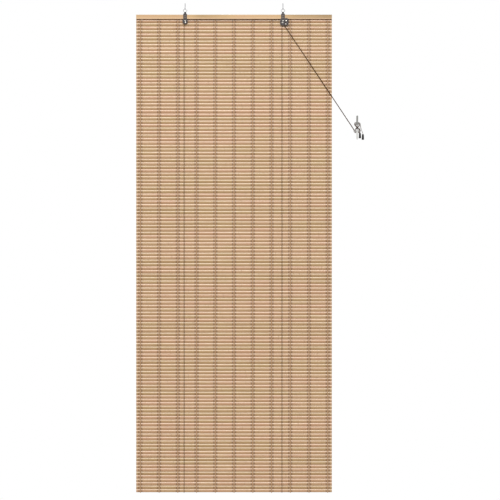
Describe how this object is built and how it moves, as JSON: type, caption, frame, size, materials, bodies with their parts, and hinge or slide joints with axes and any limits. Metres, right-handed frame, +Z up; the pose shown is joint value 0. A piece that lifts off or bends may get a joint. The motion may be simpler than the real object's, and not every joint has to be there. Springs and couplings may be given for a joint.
{
  "type": "bamboo roll-up blind",
  "caption": "Bamboo roll-up blind: slat mat bound by warp cords under a wooden batten, hung on hooks, raised by cords over pulleys with a roller lock and tied off at a wall cleat.",
  "frame": {"origin": "ceiling plane, midway between the two hook shanks", "axes": "+Z up along the hook shanks, +X to the right along the batten as seen from the room, -Y towards the room"},
  "size_m": [1.0478, 0.0407, 2.253],
  "materials": {
    "pine": "planed softwood batten",
    "bamboo": "split bamboo with a satin skin",
    "twine": "twisted cotton twine",
    "cord": "braided cord",
    "steel": "zinc-plated wire",
    "cleat_steel": "plated sheet steel",
    "dark_steel": "blackened sheet steel",
    "black_metal": "black enamel",
    "rivet": "plated rivet and screw heads",
    "sheave_plastic": "moulded nylon",
    "tassel_plastic": "moulded plastic"
  },
  "bodies": {
    "blind": {"head_rail": "pine", "bamboo_slats": "bamboo", "warp_01": "twine", "warp_02": "twine", "warp_03": "twine", "warp_04": "twine", "warp_05": "twine", "warp_06": "twine", "warp_07": "twine", "warp_08": "twine", "warp_09": "twine", "warp_10": "twine", "warp_11": "twine", "warp_staples": "steel", "cord_staples": "steel", "left_ceiling_hook": "steel", "right_ceiling_hook": "steel", "left_ring": "steel", "right_ring": "steel", "left_swivel": "black_metal", "right_swivel": "black_metal", "left_bracket": "dark_steel", "right_bracket": "dark_steel", "left_rail_screws": "rivet", "right_rail_screws": "rivet", "left_back_cheek": "dark_steel", "right_back_cheek": "dark_steel", "left_axle": "rivet", "right_axle": "rivet", "left_spacer": "rivet", "right_spacer": "rivet", "right_upper_spacer": "rivet", "guide_pin": "dark_steel", "left_lift_cord": "cord", "right_lift_cord": "cord", "left_pull_cord": "cord", "right_pull_cord": "cord", "cord_cleat": "cleat_steel", "cleat_screws": "steel", "left_tassel": "tassel_plastic", "right_tassel": "tassel_plastic"},
    "left_sheave": {"left_sheave": "sheave_plastic"},
    "right_front_sheave": {"right_front_sheave": "sheave_plastic"},
    "right_rear_sheave": {"right_rear_sheave": "sheave_plastic"},
    "lock_roller": {"lock_roller": "rivet"}
  },
  "joints": [
    {"name": "right_front_sheave_spin", "type": "hinge", "parent": "blind", "child": "right_front_sheave", "pos_m": [0.225, 0, -0.06565], "axis": [0, 1, 0], "continuous": true},
    {"name": "left_sheave_spin", "type": "hinge", "parent": "blind", "child": "left_sheave", "pos_m": [-0.225, 0, -0.06565], "axis": [0, 1, 0], "continuous": true},
    {"name": "right_rear_sheave_spin", "type": "hinge", "parent": "blind", "child": "right_rear_sheave", "pos_m": [0.225, 0, -0.06565], "axis": [0, 1, 0], "continuous": true},
    {"name": "lock_roller_slide", "type": "slide", "parent": "blind", "child": "lock_roller", "axis": [-0.319, 0, 0.9478], "range_m": [0, 0.0109]}
  ],
  "couplings": [
    {"joint": "left_sheave_spin", "follows": "right_front_sheave_spin", "ratio": 1}
  ]
}
